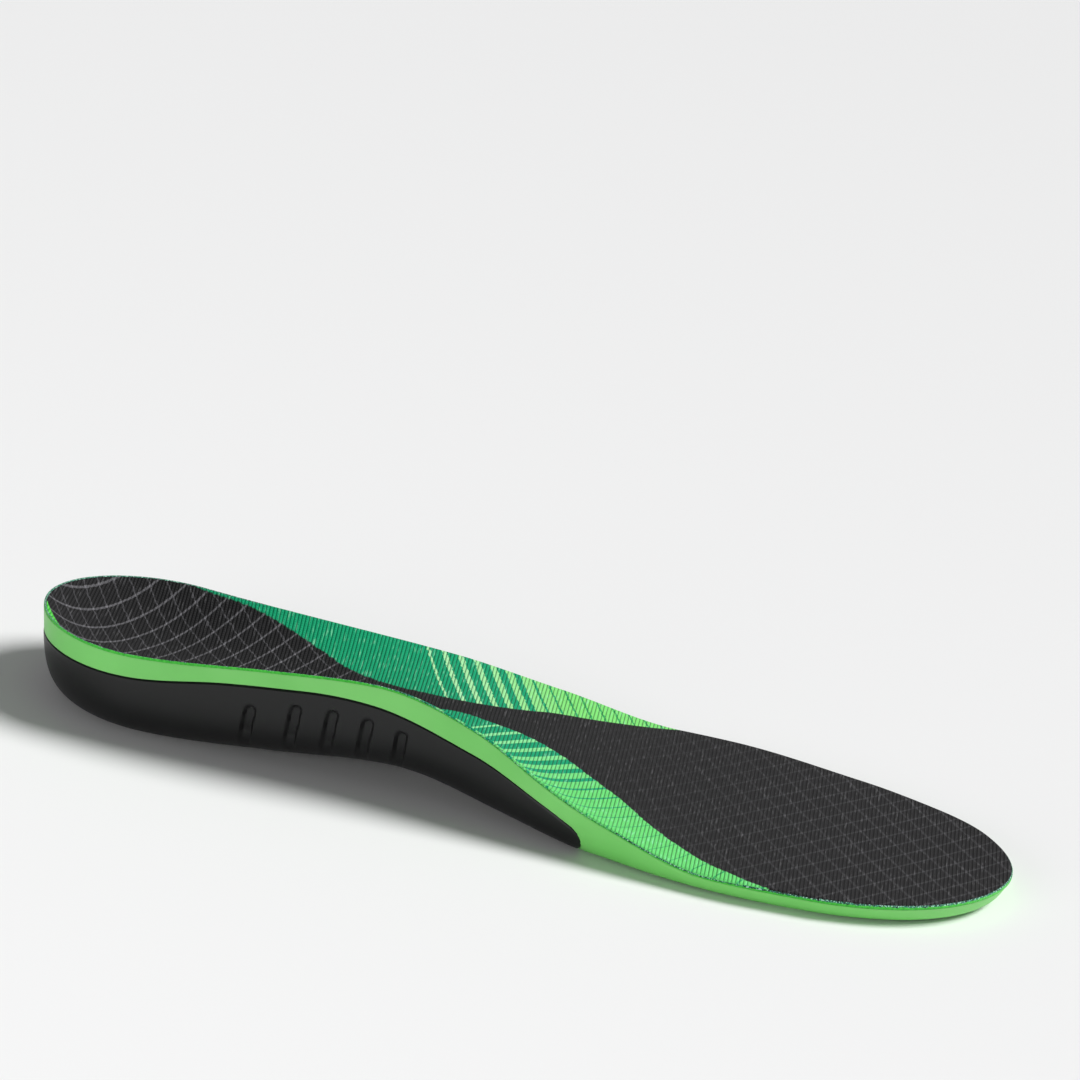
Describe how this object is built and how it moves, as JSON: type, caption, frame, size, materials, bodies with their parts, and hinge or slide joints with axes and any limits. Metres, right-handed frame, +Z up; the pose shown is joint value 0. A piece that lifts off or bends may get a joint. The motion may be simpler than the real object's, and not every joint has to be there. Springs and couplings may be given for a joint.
{
  "type": "cushioned insole",
  "caption": "Left-foot cushioned insole with a printed knit cover, green foam bed, firm black heel and arch shell, and domed gel pads under heel and ball.",
  "frame": {"origin": "middle of the footprint's bounding box, on the floor that the insole lies on", "axes": "+X towards the toe, -Y towards the arch (medial) side, +Z up"},
  "size_m": [0.2568, 0.0894, 0.031],
  "materials": {
    "printed_knit": "matt ribbed knit, printed black with grey, teal and light green figures",
    "green_foam": "satin moulded polyurethane foam",
    "black_shell": "satin moulded thermoplastic with a very fine grain",
    "lime_gel": "smooth glossy gel with small domes"
  },
  "bodies": {
    "root": {"top_cover": "printed_knit", "foam_bed": "green_foam", "arch_shell": "black_shell", "forefoot_gel_pad": "lime_gel", "heel_gel_pad": "lime_gel"}
  },
  "joints": []
}
